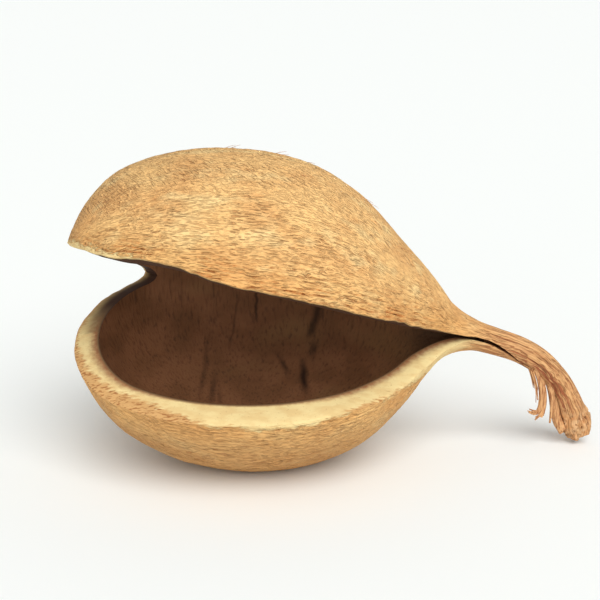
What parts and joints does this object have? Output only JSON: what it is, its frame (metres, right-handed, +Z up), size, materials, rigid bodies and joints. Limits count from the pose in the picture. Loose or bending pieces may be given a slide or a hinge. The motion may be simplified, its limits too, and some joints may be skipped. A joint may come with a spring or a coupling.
{
  "type": "buddha nut pod",
  "caption": "Dried woody seed pod lying on its side, split along its front seam so that its valves gape round an empty chamber, with a bent, frayed stem",
  "frame": {"origin": "Bottom centre of the bounding box, on the surface that the pod rests on", "axes": "+Z up; +X from the beak to the stem, the longest extent; -Y is the side of the open mouth"},
  "size_m": [0.1787, 0.0946, 0.1059],
  "materials": {
    "husk": "matte, fibrous"
  },
  "bodies": {
    "root": {"buddha_nut_pod": "husk"}
  },
  "joints": []
}
